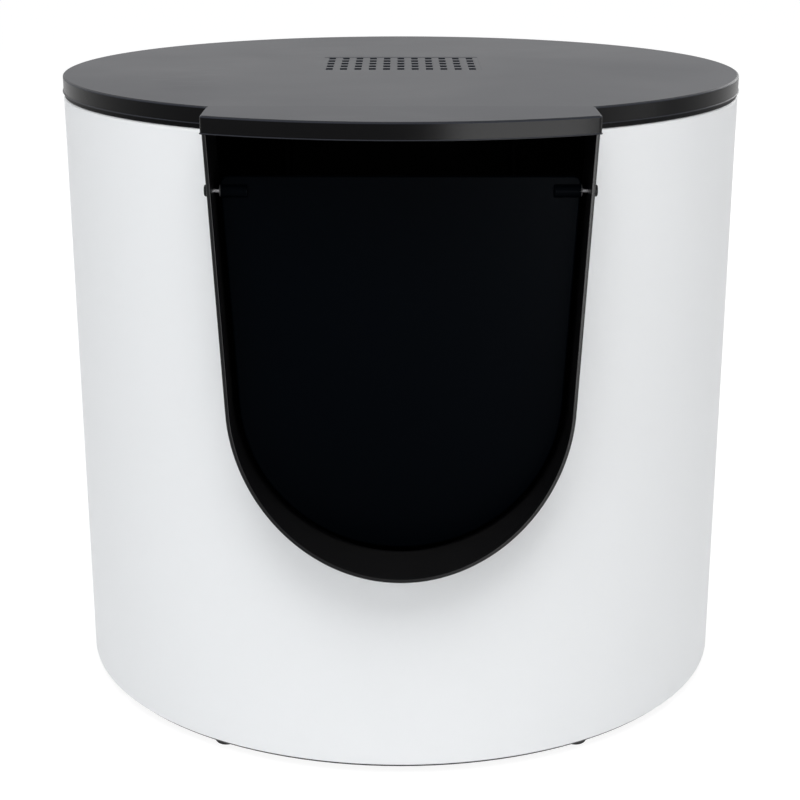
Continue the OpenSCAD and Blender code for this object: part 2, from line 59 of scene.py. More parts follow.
camera_data = bpy.data.cameras.new("camera")
camera_data.sensor_width = 36
camera_data.lens = camera_focal * camera_data.sensor_width
camera_data.shift_x = -0.00104
camera_data.shift_y = 0.05739
camera_data.clip_end = 60
camera = bpy.data.objects.new("camera", camera_data)
camera.location = (0, drum_y - camera_distance, shell_foot + camera_height)
camera.rotation_euler = (math.pi / 2 - camera_pitch, 0, 0)
bpy.context.scene.collection.objects.link(camera)
bpy.context.scene.camera = camera
bpy.context.scene.view_settings.view_transform = "Standard"


# ---------------------------------------------------------------- floor and light
# A pale floor that runs into a white surround. The lamps are large and soft, one on each side
# of the entry, one high in front of it and one behind, and the surround fills the rest. Low
# panels on the right show only in gloss, as the lighter right half of the lid's rim, and a
# dim one behind as the lighter right half of its top.
def add(tree, kind, inputs=(), **settings):
    """Places one shader node. Each input, by name or number, is a value or an output socket."""
    made = tree.nodes.new("ShaderNode" + kind)
    for key, value in settings.items():
        setattr(made, key, value)
    for key, value in dict(inputs).items():
        if isinstance(value, bpy.types.NodeSocket):
            tree.links.new(value, made.inputs[key])
        else:
            made.inputs[key].default_value = value
    return made


def maths(tree, operation, *values, clamp=False):
    """Output of a Math node on two or three values or sockets."""
    return add(tree, "Math", dict(enumerate(values)), operation=operation, use_clamp=clamp).outputs[0]


def seen_directly(tree):
    """1 where the eye, a reflection or a refraction looks straight at the backdrop, else 0."""
    rays = add(tree, "LightPath").outputs
    seen = maths(tree, "MAXIMUM", rays["Is Camera Ray"], rays["Is Transmission Ray"])
    return maths(tree, "MAXIMUM", seen, rays["Is Glossy Ray"])


def blank_paint(name):
    """A new material whose node tree is empty, and that tree."""
    paint = bpy.data.materials.new(name)
    paint.use_nodes = True
    paint.node_tree.nodes.clear()
    return paint, paint.node_tree


floor_size = 30.0
floor_mesh = bpy.data.meshes.new("floor")
floor_corners = floor_size * np.array([(-1, -1, 0), (1, -1, 0), (1, 1, 0), (-1, 1, 0)])
floor_mesh.from_pydata(floor_corners, [], [(0, 1, 2, 3)])
floor = bpy.data.objects.new("floor", floor_mesh)
bpy.context.scene.collection.objects.link(floor)

floor_paint, floor_tree = blank_paint("pale_floor")
floor_glow_strength = 0.90
floor_bounce = add(floor_tree, "BsdfDiffuse", {"Color": (0.96, 0.96, 0.96, 1)})
floor_shade = add(floor_tree, "BsdfDiffuse", {"Color": (0.22, 0.22, 0.225, 1)})
floor_glow = add(floor_tree, "Emission", {"Color": (1, 1, 1, 1), "Strength": floor_glow_strength})
floor_seen = add(floor_tree, "AddShader", {0: floor_shade.outputs[0], 1: floor_glow.outputs[0]})
floor_mix = add(floor_tree, "MixShader", {0: seen_directly(floor_tree), 1: floor_bounce.outputs[0],
                                          2: floor_seen.outputs[0]})
add(floor_tree, "OutputMaterial", {"Surface": floor_mix.outputs[0]})
floor_mesh.materials.append(floor_paint)

world = bpy.data.worlds.new("studio")
bpy.context.scene.world = world
world.use_nodes = True
world_tree = world.node_tree
world_tree.nodes.clear()
ambient_strength = 0.45
world_light = add(world_tree, "Background", {"Color": (0.98, 0.99, 1.0, 1),
                                             "Strength": ambient_strength})
world_white = add(world_tree, "Background", {"Color": (1, 1, 1, 1), "Strength": 1.0})
world_mix = add(world_tree, "MixShader", {0: seen_directly(world_tree), 1: world_light.outputs[0],
                                          2: world_white.outputs[0]})
add(world_tree, "OutputWorld", {"Surface": world_mix.outputs[0]})

white_light = (1.0, 1.0, 1.0)
lamp_aim_height = 0.25


def soft_lamp(name, place, size, power, colour, in_gloss=False):
    """A rectangular area lamp that faces the middle of the drum. Either only matt shading
    sees it, or only gloss does."""
    data = bpy.data.lights.new(name, "AREA")
    data.shape = "RECTANGLE"
    data.size, data.size_y = size
    data.energy = power
    data.color = colour
    lamp = bpy.data.objects.new(name, data)
    lamp.location = place
    aim = np.array([0, drum_y, lamp_aim_height]) - np.array(place)
    lamp.rotation_euler = (math.acos(-aim[2] / np.linalg.norm(aim)), 0, math.atan2(-aim[0], aim[1]))
    lamp.visible_camera = False
    lamp.visible_glossy, lamp.visible_diffuse = in_gloss, not in_gloss
    bpy.context.scene.collection.objects.link(lamp)


soft_lamp("lamp_left", (-1.6, -2.1, 0.9), (1.6, 1.4), 11, (0.96, 0.98, 1.0))
soft_lamp("lamp_right", (1.8, -1.8, 0.5), (1.6, 1.0), 5, (1.0, 0.99, 0.98))
soft_lamp("lamp_high", (0.0, -1.5, 2.5), (1.6, 1.6), 40, white_light)
soft_lamp("lamp_back", (0.4, 2.7, 1.2), (1.8, 1.6), 22, white_light)
soft_lamp("gloss_panel_right", (0.80, -1.28, 0.22), (1.10, 0.40), 26, white_light, in_gloss=True)
soft_lamp("gloss_panel_side", (1.45, -0.40, 0.22), (0.60, 0.40), 2.2, white_light, in_gloss=True)
soft_lamp("gloss_panel_behind", (1.7, 2.6, 1.1), (1.6, 1.2), 18, white_light, in_gloss=True)


# ---------------------------------------------------------------- outer shell
# The drum wall is one moulding in white plastic, 3 mm thick, cut open in front in a U whose
# sides lean in. Its edges are rounded, and six columns inside take the screws. The inside and
# the columns are painted near-black, as painted shade, so that the gap over the flap stays dark.
shell_radius = 0.250
shell_height = 0.437
shell_wall = 0.003
shell_edge_round = 0.0024    # on the outside of the cut edge
shell_inner_round = 0.0004
shell_corner = 0.004
entry_width = 0.246
entry_lean = math.radians(3)
sill_height = 0.1515
edge_gap = 0.0008
entry_reach = 0.1285         # the shell's edge dips into the entry where |x| is under this
column_radius = 0.0045
column_turns = 58 + 48.8 * np.arange(6)      # in degrees from the front
column_distance = shell_radius - shell_wall - column_radius + 0.001

sill_radius = ((entry_width / 2 - (shell_height - sill_height) * math.tan(entry_lean))
               / (1 / math.cos(entry_lean) - math.tan(entry_lean)))
sill_middle = sill_height + sill_radius


def entry_half(z, grow):
    """Half the entry's width at height z: a line that leans by entry_lean and touches the
    sill's circle, both moved outwards by grow."""
    return (sill_radius + grow) / math.cos(entry_lean) + (z - sill_middle) * math.tan(entry_lean)


def entry_line(grow, heights, sill_steps=48):
    """(rows, k, 2) points x, z up the right half of the entry, for k values of grow: a circular
    arc round the sill, then the leaning side at heights, a (rows, k) array."""
    turn = np.linspace(-math.pi / 2, -entry_lean, sill_steps)[:, None]
    reach = sill_radius + grow
    arc = np.stack([reach * np.cos(turn), sill_middle + reach * np.sin(turn)], -1)
    side = np.stack(np.broadcast_arrays(entry_half(heights, grow), heights), -1)
    return np.concatenate([arc, side])


def on_cylinder(line, radius):
    """Carries (rows, k, 2) points x, z along Y to the front of cylinders of k radii."""
    x, z = line[..., 0], line[..., 1]
    return np.stack([x, -np.sqrt(radius ** 2 - x ** 2), z], -1)


def both_halves(right):
    """A right half whose first row is in the plane of symmetry, with its mirror image."""
    return np.concatenate([(right * (-1, 1, 1))[:0:-1], right])


def round_corners(corners, radii, steps=5, closed=False):
    """A profile through corners, each of them replaced by an arc of its radius that touches
    both of its sides. The arc's points turn evenly from one touching point to the other."""
    corners = np.asarray(corners, float)
    points = []
    for i, (corner, radius) in enumerate(zip(corners, radii)):
        if radius == 0:
            points.append(corner[None])
            continue
        back, on = corners[i - 1] - corner, corners[(i + 1) % len(corners)] - corner
        back, on = back / np.linalg.norm(back), on / np.linalg.norm(on)
        half = math.acos(np.clip(back @ on, -1, 1)) / 2
        middle = corner + (back + on) / np.linalg.norm(back + on) * radius / math.sin(half)
        first = corner + back * radius / math.tan(half) - middle
        last = corner + on * radius / math.tan(half) - middle
        share, turn = np.linspace(0, 1, steps + 1)[:, None], math.pi - 2 * half
        arc = first * np.sin((1 - share) * turn) + last * np.sin(share * turn)
        points.append(middle + arc / math.sin(turn))
    if closed:
        points.append(points[0][:1])
    return np.concatenate(points)


def on_ring(radius, turn, height):
    """(..., 3) points at a radius, at an angle in radians from the drum's front and a height."""
    return np.stack(np.broadcast_arrays(radius * np.sin(turn), -radius * np.cos(turn), height), -1)


def around(angle, radius, height=0):
    """The place at an angle in degrees from the drum's front, at a radius and a height."""
    return radius * math.sin(math.radians(angle)), -radius * math.cos(math.radians(angle)), height


def turned(profile, middle=(0, 0, 0), steps=64, along="z"):
    """A profile of (radius, height) pairs spun round an axis through middle."""
    ring = on_ring(profile[:, :1], np.linspace(0, 2 * math.pi, steps + 1), profile[:, 1:])
    return (ring if along == "z" else np.roll(ring, 1, axis=-1)) + middle


def lay_out(name, surfaces, body, stands_for=(), flat_at=()):
    """One object from surfaces, a list of (paint, sheets), in the drum's own coordinates. A
    sheet is a (rows, columns, 3) array with a face between each four neighbours. Open edges in
    the planes flat_at, a list of (axis, distance), are filled with flat faces in the first paint."""
    points, faces, paints, start = [], [], [], 0
    for index, sheets in enumerate(sheets for paint, sheets in surfaces):
        for sheet in sheets:
            rows, columns = sheet.shape[:2]
            first = start + np.arange(rows - 1)[:, None] * columns + np.arange(columns - 1)
            quads = np.stack([first, first + 1, first + columns + 1, first + columns], -1).reshape(-1, 4)
            faces.append(quads)
            paints.append(np.full(len(quads), index))
            points.append(sheet.reshape(-1, 3))
            start += rows * columns
    mesh = bpy.data.meshes.new(name)
    middle = np.array([0, drum_y, shell_foot])
    mesh.from_pydata(np.concatenate(points) + middle, [], np.concatenate(faces))
    mesh.polygons.foreach_set("material_index", np.concatenate(paints))
    work = bmesh.new()
    work.from_mesh(mesh)
    bmesh.ops.remove_doubles(work, verts=work.verts, dist=1e-6)
    bmesh.ops.dissolve_degenerate(work, edges=work.edges, dist=1e-7)
    for axis, distance in flat_at:
        level = middle[axis] + distance
        rim = [edge for edge in work.edges if len(edge.link_faces) == 1
               and all(abs(corner.co[axis] - level) < 1e-6 for corner in edge.verts)]
        bmesh.ops.triangle_fill(work, use_beauty=True, edges=rim)
    bmesh.ops.recalc_face_normals(work, faces=work.faces)
    for face in work.faces:
        face.smooth = True
    work.to_mesh(mesh)
    work.free()
    mesh.set_sharp_from_angle(angle=math.radians(50))
    for paint, sheets in surfaces:
        mesh.materials.append(paint)
    piece = bpy.data.objects.new(name, mesh)
    bpy.context.scene.collection.objects.link(piece)
    weighted = piece.modifiers.new("face_weighted_normals", "WEIGHTED_NORMAL")
    weighted.keep_sharp = True
    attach(piece, body)
    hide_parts(*stands_for)
    return piece


def shader_group(name, inputs, outputs):
    """A node group with named inputs (name, kind, value) and outputs (name, kind)."""
    group = bpy.data.node_groups.new(name, "ShaderNodeTree")
    for label, kind, value in inputs:
        socket = group.interface.new_socket(label, in_out="INPUT", socket_type="NodeSocket" + kind)
        if value is not None:
            socket.default_value = value
    for label, kind in outputs:
        group.interface.new_socket(label, in_out="OUTPUT", socket_type="NodeSocket" + kind)
    given, result = (group.nodes.new("NodeGroup" + end) for end in ("Input", "Output"))
    return group, given.outputs, result.inputs


def noise(tree, point, scale, detail, **more):
    """Value of a noise texture at a point. more holds further inputs by their names."""
    inputs = {"Vector": point, "Scale": scale, "Detail": detail, **more}
    return add(tree, "TexNoise", inputs).outputs["Fac"]


def spread(tree, value, low, high, to_low=0.0, to_high=1.0):
    """The value carried from the range low, high to the range to_low, to_high and kept in it."""
    inputs = {"Value": value, "From Min": low, "From Max": high, "To Min": to_low, "To Max": to_high}
    return add(tree, "MapRange", inputs).outputs["Result"]


def blend(tree, share, one, other):
    """Colour that goes from one to the other as share goes from 0 to 1."""
    return add(tree, "Mix", {"Factor": share, 6: one, 7: other}, data_type="RGBA").outputs[2]


def coat(tree, colour, rough, bump, **more):
    """Ends a material's tree in a Principled shader. In more, _ stands for a space."""
    inputs = {"Base Color": colour, "Roughness": rough, "Normal": bump.outputs[0]}
    inputs.update({name.replace("_", " "): value for name, value in more.items()})
    shader = add(tree, "BsdfPrincipled", inputs)
    add(tree, "OutputMaterial", {"Surface": shader.outputs[0]})


def moulded_skin():
    """The surface of a moulded part: fine spark-eroded grain, and broad clouds where the melt
    cooled unevenly. Cloud is from 0 to 1."""
    group, given, result = shader_group(
        "moulded_skin", [("Point", "Vector", None), ("Grain", "Float", 1500.0), ("Clouds", "Float", 6.0)],
        [("Height", "Float"), ("Cloud", "Float")])
    fine = noise(group, given["Point"], given["Grain"], 2.0)
    pits = add(group, "TexVoronoi", {"Vector": given["Point"], "Scale": given["Grain"]},
               feature="SMOOTH_F1")
    height = maths(group, "MULTIPLY_ADD", pits.outputs["Distance"], 0.6, fine)
    cloud = noise(group, given["Point"], given["Clouds"], 3.0, Roughness=0.5, Distortion=0.4)
    group.links.new(height, result["Height"])
    group.links.new(cloud, result["Cloud"])
    return group


def rub_marks():
    """Short scuffs from handling in two directions: long stretched noise, kept where it is
    high and only in patches."""
    group, given, result = shader_group("rub_marks", [("Point", "Vector", None)], [("Mask", "Float")])
    strokes = []
    for turn in (0.5, -0.9):
        laid = add(group, "Mapping", {"Vector": given["Point"], "Rotation": (turn, 0.7 * turn, turn),
                                      "Scale": (28.0, 800.0, 800.0)})
        strokes.append(spread(group, noise(group, laid.outputs[0], 1.0, 1.0), 0.66, 0.74))
    there = spread(group, noise(group, given["Point"], 9.0, 2.0), 0.52, 0.66)
    both = maths(group, "MAXIMUM", *strokes)
    group.links.new(maths(group, "MULTIPLY", both, there), result["Mask"])
    return group


def settled_dust():
    """A thin even film and sparse grains of dust, only on what faces up."""
    group, given, result = shader_group(
        "settled_dust", [("Point", "Vector", None), ("Amount", "Float", 0.1)], [("Mask", "Float")])
    up = add(group, "SeparateXYZ", {0: add(group, "NewGeometry").outputs["Normal"]}).outputs["Z"]
    facing = spread(group, up, 0.5, 1.0)
    film = noise(group, given["Point"], 30.0, 3.0, Roughness=0.5)
    even = maths(group, "MULTIPLY_ADD", film, 0.3, 0.25)
    sharp = spread(group, noise(group, given["Point"], 1100.0, 0.0), 0.74, 0.8)
    laid = maths(group, "MULTIPLY", maths(group, "ADD", even, sharp), facing)
    group.links.new(maths(group, "MULTIPLY", laid, given["Amount"], clamp=True), result["Mask"])
    return group


skin_group, rub_group, dust_group = moulded_skin(), rub_marks(), settled_dust()


def moulded_plastic(name, colour, roughness, shine=0.5, grain=1500.0, depth=0.00004, variety=0.08,
                    dust=0.05, dust_colour=(0.4, 0.39, 0.37, 1), dents=None):
    """Moulded plastic in one colour. The skin's clouds move its tone and gloss a little, its
    grain gives the bump, rub marks are smoother, and dust lies on top. dents makes, from the
    tree and the point, a height in metres that bends the surface under the grain."""
    paint, tree = blank_paint(name)
    point = add(tree, "TexCoord").outputs["Object"]
    skin, rub, film = (add(tree, "Group", node_tree=group) for group in (skin_group, rub_group, dust_group))
    for group in (skin, rub, film):
        tree.links.new(point, group.inputs["Point"])
    skin.inputs["Grain"].default_value = grain
    film.inputs["Amount"].default_value = dust
    low = [c * (1 - variety) for c in colour] + [1]
    high = [min(1, c * (1 + variety)) for c in colour] + [1]
    tone = blend(tree, skin.outputs["Cloud"], low, high)
    dusty = blend(tree, film.outputs["Mask"], tone, dust_colour)
    gloss = spread(tree, skin.outputs["Cloud"], 0.3, 0.7, roughness - 0.02, roughness + 0.02)
    rough = maths(tree, "MULTIPLY_ADD", rub.outputs["Mask"], -0.05, gloss)
    rough = maths(tree, "MULTIPLY_ADD", film.outputs["Mask"], 0.5, rough, clamp=True)
    height = maths(tree, "MULTIPLY_ADD", rub.outputs["Mask"], -0.3, skin.outputs["Height"])
    bump = add(tree, "Bump", {"Height": height, "Distance": depth, "Strength": 0.6})
    if dents:
        bent = add(tree, "Bump", {"Height": dents(tree, point), "Distance": 1.0, "Strength": 1.0})
        tree.links.new(bent.outputs[0], bump.inputs["Normal"])
    coat(tree, dusty, rough, bump, Specular_IOR_Level=shine)
    return paint


white_plastic = moulded_plastic("white_shell_plastic", (0.80, 0.81, 0.82), 0.42, shine=0.08, grain=1100.0,
                                depth=0.00002, variety=0.012, dust=0.02, dust_colour=(0.55, 0.54, 0.52, 1))
# Near-black paint on the shell's inside and its columns: painted shade that keeps the gap over the flap
# dark
inner_wall_shade_paint = moulded_plastic("shell_inside_painted_shade", (0.010, 0.010, 0.011), 0.5, shine=0.2, dust=0.03)


def shell_rim(inset, radius, back_steps=120):
    """(rows, k, 3) points along the right half of the shell's open edge, for k values of the
    inset from that edge and of the radius: round the sill, up the side, over the corner and
    then level round to the back."""
    middle_x = (entry_half(shell_height, edge_gap)
                + shell_corner * (1 - math.sin(entry_lean)) / math.cos(entry_lean))
    arc = shell_corner - inset
    foot = sill_middle - (sill_radius + edge_gap + inset) * math.sin(entry_lean)
    side_end = shell_height - shell_corner + arc * math.sin(entry_lean)
    heights = foot + (side_end - foot) * np.linspace(0, 1, 17)[1:, None]
    turn = np.linspace(entry_lean, math.pi / 2, 9)[1:, None]
    corner = np.stack([middle_x - arc * np.cos(turn),
                       shell_height - shell_corner + arc * np.sin(turn)], -1)
    front = on_cylinder(np.concatenate([entry_line(edge_gap + inset, heights), corner]), radius)
    begin = np.arcsin(middle_x / radius)
    angle = begin + (math.pi - begin) * np.linspace(0, 1, back_steps + 1)[1:, None]
    back = on_ring(radius, angle, shell_height - inset)
    return both_halves(np.concatenate([front, back]))


def wall_down(rim, radius, bottom, steps=30):
    """From a rim on a cylinder down to a level ring. Each line goes straight on the unrolled
    wall from its place on the rim to a place on the ring; those places are spread evenly."""
    angle = np.arctan2(rim[:, 0], -rim[:, 1])
    angle[0] = -math.pi
    angle[-1] = math.pi
    steps_on_rim = np.linalg.norm(np.diff(rim, axis=0), axis=1)
    along = np.concatenate([[0], np.cumsum(steps_on_rim)])
    cut = np.abs(angle) < math.asin(entry_reach / radius)
    first, last = np.flatnonzero(cut)[[0, -1]]
    foot = angle.copy()
    foot[first:last + 1] = np.interp(along[first:last + 1], along[[first, last]], angle[[first, last]])
    share = np.linspace(0, 1, steps)[:, None]
    turn = angle + (foot - angle) * share
    return on_ring(radius, turn, rim[:, 2] + (bottom - rim[:, 2]) * share), foot


inner_radius = shell_radius - shell_wall
nearly = 0.999       # keeps an arc a little shorter than the side it ends on
rim_profile = round_corners(
    [(shell_edge_round, shell_radius), (0, shell_radius), (0, inner_radius),
     (shell_inner_round, inner_radius)],
    [0, shell_edge_round * nearly, shell_inner_round * nearly, 0], steps=7)
rim = shell_rim(rim_profile[:, 0], rim_profile[:, 1])
foot_round = 0.0008
outer_wall, foot_angle = wall_down(rim[:, 0], shell_radius, foot_round)
inner_wall, inner_foot_angle = wall_down(rim[:, -1], inner_radius, foot_round)
foot_profile = round_corners(
    [(shell_radius, foot_round), (shell_radius, 0), (inner_radius, 0), (inner_radius, foot_round)],
    [0, foot_round * nearly, foot_round * nearly, 0], steps=5)
share = np.linspace(0, 1, len(foot_profile))[:, None]
foot_turn = foot_angle + (inner_foot_angle - foot_angle) * share
foot_ring = on_ring(foot_profile[:, :1], foot_turn, foot_profile[:, 1:])
column_profile = np.array([(0, 0.0), (column_radius, 0.0), (column_radius, shell_height),
                           (0, shell_height)])
columns = [turned(column_profile, around(angle, column_distance), 32) for angle in column_turns]
lay_out("drum_shell", [(white_plastic, [rim.transpose(1, 0, 2), outer_wall, foot_ring]),
                       (inner_wall_shade_paint, [inner_wall] + columns)], "drum", ["outer_shell"])


# ---------------------------------------------------------------- base plate
# The black plate that closes the drum's underside. Its bevelled edge shows as a thin line
# under the shell. It keeps the CAD shape, ribs, screw holes and all.
def paint_node(paint, *names):
    """Gives CAD nodes that keep their own shape a better material."""
    for name in names:
        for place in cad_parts[name].material_slots:
            place.material = paint


base_thickness = 0.0024
black_plastic = moulded_plastic("black_frame_plastic", (0.004, 0.004, 0.0045), 0.36, shine=0.12, dust=0.03)
paint_node(black_plastic, "base_plate")


# ---------------------------------------------------------------- feet
# Four moulded rubber feet, each held by a screw whose head is sunk in the foot. Only the two
# in front show, as small dark buttons under the shell.
foot_height = 0.0056
foot_radius = 0.0085
foot_ring_radius = 0.235
foot_recess = (0.0037, 0.0016)   # radius, and what is left above it
screw_hole_radius = 0.0018
foot_turns = {"front_left": -32.5, "front_right": 32.5, "rear_left": -147.5, "rear_right": 147.5}


def grippy_rubber(name, colour):
    """Matt rubber: a soft bloom in patches and fine pores."""
    paint, tree = blank_paint(name)
    point = add(tree, "TexCoord").outputs["Object"]
    bloom = noise(tree, point, 60.0, 5.0)
    pores = add(tree, "TexVoronoi", {"Vector": point, "Scale": 1400.0})
    tone = blend(tree, bloom, list(colour) + [1], [c * 2.2 for c in colour] + [1])
    bump = add(tree, "Bump", {"Height": pores.outputs["Distance"], "Distance": 0.00008, "Strength": 0.7})
    coat(tree, tone, spread(tree, bloom, 0.0, 1.0, 0.62, 0.85), bump, Specular_IOR_Level=0.3)
    return paint


foot_rubber = grippy_rubber("foot_rubber", (0.012, 0.012, 0.012))
foot_profile = round_corners(
    [(screw_hole_radius, 0), (foot_radius, 0), (foot_radius, -foot_height), (foot_recess[0], -foot_height),
     (foot_recess[0], -foot_recess[1]), (screw_hole_radius, -foot_recess[1])],
    [0, 0.0004, 0.0027, 0.0006, 0.0003, 0], steps=6, closed=True)
for corner, angle in foot_turns.items():
    foot = turned(foot_profile, around(angle, foot_ring_radius, -base_thickness), 48)
    lay_out("rubber_foot_" + corner, [(foot_rubber, [foot])], "drum", ["foot_" + corner])


# ---------------------------------------------------------------- screws
# Zinc-plated pan-head screws with a cross recess: one through each foot, and six up through
# the base plate and six down through the top ring into the shell's columns.
screw_radius = 0.00175
screw_head_radius = 0.0034
screw_head_height = 0.0019
head_side_share = 0.45       # how much of the head's height is its straight side
recess_depth = 0.0009
tip_length = 0.0008
foot_screw_length, base_screw_length = 0.0110, 0.0174


def brushed_metal(name, colour, roughness):
    """Plated steel with a fine noise bump and a cloudy film."""
    paint, tree = blank_paint(name)
    point = add(tree, "TexCoord").outputs["Object"]
    film = noise(tree, point, 260.0, 5.0)
    tone = blend(tree, film, [c * 0.78 for c in colour] + [1], list(colour) + [1])
    rough = spread(tree, film, 0.3, 0.7, roughness - 0.07, roughness + 0.09)
    bump = add(tree, "Bump", {"Height": noise(tree, point, 4200.0, 2.0), "Distance": 0.00001,
                              "Strength": 0.5})
    coat(tree, tone, rough, bump, Metallic=1.0)
    return paint


def screw(place, length, up=1):
    """A domed head whose cross recess is a smooth dip along two bars, and a shank with a blunt
    tip. up is 1 for a screw that points up, and -1 for one that points down."""
    turn = np.linspace(0, 2 * math.pi, 65)[None, :]
    reach = np.linspace(0, 1, 22)[:, None] * screw_head_radius
    x, y = reach * np.cos(turn), reach * np.sin(turn)
    side = head_side_share * screw_head_height
    crown = (screw_head_height - side) * (1 - (reach / screw_head_radius) ** 2) + side
    bar_half, bar_reach, soft = 0.00055, 0.0019, 0.0003
    nearest = np.minimum(np.abs(x), np.abs(y))
    inside = (np.clip((bar_half - nearest) / soft + 0.5, 0, 1)
              * np.clip((bar_reach - reach) / soft + 0.5, 0, 1))
    head = np.stack([x, y, -(crown - recess_depth * inside)], -1)
    shank = turned(np.array([(screw_head_radius, -side), (screw_head_radius, 0), (screw_radius, 0),
                             (screw_radius, length - tip_length), (screw_radius * 0.5, length),
                             (0, length)]))
    return [sheet * (1, up, up) + np.array(place) for sheet in (head, shank)]


def lay_screws(name, places, length, body, node, up=1):
    """One piece from equal screws at places, which stands for one node."""
    screws = sum([screw(place, length, up) for place in places], [])
    lay_out(name, [(screw_steel, screws)], body, [node])


screw_steel = brushed_metal("screw_steel", (0.62, 0.62, 0.63), 0.33)
foot_screw_seat = -base_thickness - foot_recess[1]
lay_screws("screws_in_feet", [around(a, foot_ring_radius, foot_screw_seat) for a in foot_turns.values()],
           foot_screw_length, "drum", "foot_screws")
lay_screws("screws_in_base", [around(a, column_distance, -base_thickness) for a in column_turns],
           base_screw_length, "drum", "base_screws")


# ---------------------------------------------------------------- entry surround
# The black U-shaped tunnel that stands out in front of the drum. It is pushed in from the
# front: a flange grips the shell's cut edge inside and a bead covers it outside. A boss on
# each side takes a hinge pin.
surround_wall = 0.0026
surround_back = 0.233
surround_front = 0.284
surround_front_round = 0.0007
surround_back_round = 0.0004
surround_steps = (0.239, 0.2503)      # radii at which its top edge steps up
skirt_clear = 0.0048                  # how far its back end stays below the shell's top
ring_thickness = 0.0025
flange = (0.2442, 0.2467, 0.016)      # radii and width of the flange inside the shell
bead = (0.2503, 0.2523, 0.0035)       # radii and width of the bead outside
pivot_height = shell_height - 0.036
flap_plane = 0.236
hinge_middle = (0, -flap_plane, pivot_height)
boss_face = entry_half(pivot_height, 0) + 0.001
boss_radius = 0.0044
boss_depth = 0.0023


def along_entry(section, top):
    """A section of k (growth, radius) corners carried round the entry, up to the heights top."""
    grow, radius = section[:, 0], section[:, 1]
    foot = sill_middle - (sill_radius + grow) * math.sin(entry_lean)
    lowest = shell_height - skirt_clear
    shared = foot + (lowest - foot) * np.linspace(0, 1, 25)[1:, None]
    above = np.minimum(top, np.array([[shell_height], [shell_height + ring_thickness]]))
    heights = np.concatenate([shared, np.maximum(above, lowest)])
    return both_halves(on_cylinder(entry_line(grow, heights, 72), radius))


def capped(outer, inner):
    """A closed band of two skins that meet at both edges, and the caps on its two ends."""
    band = np.concatenate([outer, inner[:, ::-1]], axis=1)
    return [band] + [np.stack([outer[end], inner[end]], axis=1) for end in (0, -1)]


def entry_band(half_section, middle, top):
    """A closed band round the entry. half_section runs from its back to its front over the
    outer half, its mirror image about middle is the inner half, and both ends are capped."""
    inner_half = half_section * (-1, 1) + (2 * middle, 0)
    return capped(along_entry(half_section, top), along_entry(inner_half, top))


def wall_half_section():
    """The outer half of the surround's wall and the height of its top edge at each corner."""
    half = -surround_wall / 2
    step_in, step_out = surround_steps
    back = round_corners([(half, surround_back), (0, surround_back), (0, step_in)],
                         [0, surround_back_round, 0], 4)
    front = round_corners([(0, step_out), (0, surround_front), (half, surround_front)],
                          [0, surround_front_round, 0], 6)
    heights = [shell_height - skirt_clear, shell_height, shell_height + ring_thickness]
    return (np.concatenate([back, [(0, step_in), (0, step_out)], front]),
            np.repeat(heights, [len(back), 2, len(front)]))


surround_section, surround_top = wall_half_section()
surround_sheets = entry_band(surround_section, -surround_wall / 2, surround_top)
for near, far, width in (flange, bead):
    middle = (width - surround_wall / 2) / 2
    half_section = round_corners([(middle, near), (width, near), (width, far), (middle, far)],
                                 [0, 0.0006, 0.0006, 0], 4)
    surround_sheets += entry_band(half_section, middle, np.full(len(half_section), shell_height))
boss = round_corners([(0, boss_face - boss_depth), (boss_radius, boss_face - boss_depth),
                      (boss_radius, boss_face), (0, boss_face)], [0, 0, 0.0004, 0], 4)
surround_sheets += [turned(boss * (1, side), hinge_middle, 40, along="x") for side in (-1, 1)]
surround_plastic = moulded_plastic("surround_plastic", (0.004, 0.004, 0.0045), 0.34, shine=0.15, dust=0.02)
lay_out("entry_surround_moulding", [(surround_plastic, surround_sheets)], "drum",
        ["entry_surround"])


# ---------------------------------------------------------------- hinge pins and caps
# Two bright steel pins carry the flap. Each is pushed through the surround from outside, and
# a small black cap closes its outer end.
pin_radius = 0.0015
flap_gap = 0.0044            # between the flap's side and the inside of the surround
flap_shrink = surround_wall + flap_gap
flap_half = entry_half(pivot_height, -flap_shrink)
pin_begin, pin_end = flap_half - 0.014, boss_face + 0.0018
cap_radius, cap_end = 0.0038, boss_face + 0.0027
pin_steel = brushed_metal("pin_steel", (0.36, 0.36, 0.37), 0.30)
cap_plastic = moulded_plastic("cap_plastic", (0.004, 0.004, 0.0045), 0.34, shine=0.1, dust=0.01)
pin_profile = round_corners([(0, pin_begin), (pin_radius, pin_begin), (pin_radius, pin_end), (0, pin_end)],
                            [0, 0.0004, 0.0004, 0], 4)
cap_profile = round_corners([(0, boss_face), (cap_radius, boss_face), (cap_radius, cap_end), (0, cap_end)],
                            [0, 0, 0.0011, 0], 6)
for side, word in ((-1, "left"), (1, "right")):
    pin = turned(pin_profile * (1, side), hinge_middle, 32, along="x")
    lay_out("flap_pin_" + word, [(pin_steel, [pin])], "drum", ["hinge_pin_" + word])
    cap = turned(cap_profile * (1, side), hinge_middle, 40, along="x")
    lay_out("pin_end_cap_" + word, [(cap_plastic, [cap])], "drum", ["pin_cap_" + word])


# ---------------------------------------------------------------- flap
# A flat black panel that fills the entry and hangs on the pins. Its edges are rounded, its
# back is hollowed inside a border, and a barrel at each top corner holds a nylon bush.
flap_thickness = 0.003
flap_top = pivot_height + 0.0095
flap_corner = 0.005
flap_edge_round = 0.0012
flap_border, flap_hollow = 0.008, 0.001
hollow_top = pivot_height - 0.009
barrel_radius, barrel_length = 0.0045, 0.017


